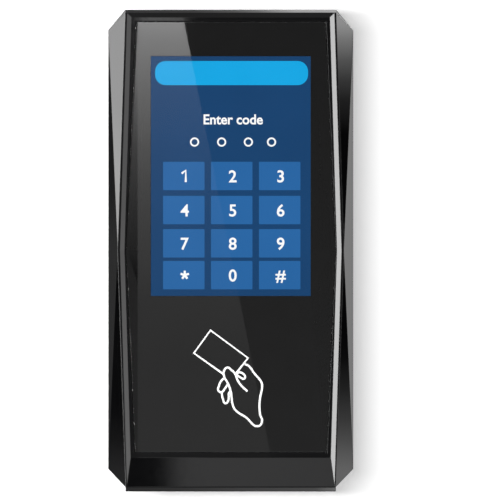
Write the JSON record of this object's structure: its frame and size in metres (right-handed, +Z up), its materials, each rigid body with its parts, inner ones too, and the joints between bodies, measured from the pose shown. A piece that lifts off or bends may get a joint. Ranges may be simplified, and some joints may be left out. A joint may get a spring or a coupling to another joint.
{
  "type": "keypad access reader",
  "caption": "Wall-mounted access reader: faceted gloss frame, touch screen with a drawn number pad, card field below, steel wall plate behind.",
  "frame": {"origin": "centre of the wall plate's back face, level with the middle of the body", "axes": "+Z up, +Y into the wall, the front faces -Y, +X to the right of a person facing the reader"},
  "size_m": [0.0752, 0.0242, 0.1476],
  "materials": {
    "zinc_steel": "zinc-plated sheet",
    "housing_plastic": "fine moulded texture",
    "frame_gloss": "high gloss",
    "seal_rubber": "soft silicone",
    "cover_glass": "polished",
    "mask_ink": "black screen print",
    "foam": "closed-cell foam",
    "touch_film": "clear film",
    "flex_film": "polyimide film",
    "display_cell": "lit blue display",
    "diffuser": "white diffuser",
    "tray_steel": "bright stamped steel",
    "board_green": "solder mask",
    "copper": "etched copper",
    "ferrite": "ferrite sheet",
    "gold": "gold plated",
    "screw_steel": "plated steel",
    "connector_plastic": "ivory nylon",
    "chip_epoxy": "black epoxy",
    "passive_ceramic": "ceramic",
    "relay_case": "moulded case",
    "terminal_green": "green nylon",
    "ivory_plastic": "acetal",
    "brass": "turned brass",
    "aluminium_can": "brushed can"
  },
  "bodies": {
    "wall_mount": {"wall_plate": "zinc_steel"},
    "reader": {"rear_housing": "housing_plastic", "front_frame": "frame_gloss", "perimeter_gasket": "seal_rubber", "cover_glass": "cover_glass", "glass_mask": "mask_ink", "glass_adhesive": "foam", "touch_sensor": "touch_film", "touch_flex": "flex_film", "lcd_panel": "display_cell", "lcd_backlight": "diffuser", "lcd_tray": "tray_steel", "lcd_flex": "flex_film", "lcd_pads": "foam", "antenna_board": "board_green", "antenna_coil": "copper", "antenna_ferrite": "ferrite", "antenna_pins": "gold", "main_board": "board_green", "board_screws": "screw_steel", "flex_connectors": "connector_plastic", "shield_can": "tray_steel", "processor": "chip_epoxy", "memory_chips": "chip_epoxy", "reader_chip": "chip_epoxy", "board_passives": "passive_ceramic", "power_inductor": "ferrite", "power_capacitors": "aluminium_can", "lock_relay": "relay_case", "buzzer": "chip_epoxy", "coin_cell": "screw_steel", "coin_cell_holder": "chip_epoxy", "terminal_header": "terminal_green", "tamper_switch": "chip_epoxy", "tamper_spring": "screw_steel", "reset_switch": "chip_epoxy", "case_inserts": "brass", "case_screws": "screw_steel"},
    "plug": {"terminal_plug": "terminal_green", "terminal_screws": "screw_steel"},
    "tamper_plunger": {"tamper_plunger": "ivory_plastic"},
    "reset_button": {"reset_button": "ivory_plastic"},
    "lock_screw": {"lock_screw": "screw_steel"}
  },
  "joints": [
    {"name": "unit_tilt", "type": "hinge", "parent": "wall_mount", "child": "reader", "pos_m": [0, -0.0032, 0.0676], "axis": [-1, 0, 0], "range_deg": [0, 12]},
    {"name": "lock_screw_drive", "type": "slide", "parent": "reader", "child": "lock_screw", "axis": [0, 0, 1], "range_m": [0, 0.003]},
    {"name": "tamper_press", "type": "slide", "parent": "reader", "child": "tamper_plunger", "axis": [0, -1, 0], "range_m": [0, 0.002], "stiffness_N_per_m": 400, "springref_m": -0.001, "deforming": ["tamper_spring"]},
    {"name": "reset_press", "type": "slide", "parent": "reader", "child": "reset_button", "axis": [0, -1, 0], "range_m": [0, 0.0004], "stiffness_N_per_m": 2000, "springref_m": -0.0004},
    {"name": "plug_pull", "type": "slide", "parent": "reader", "child": "plug", "axis": [0, 1, 0], "range_m": [0, 0.006]}
  ]
}
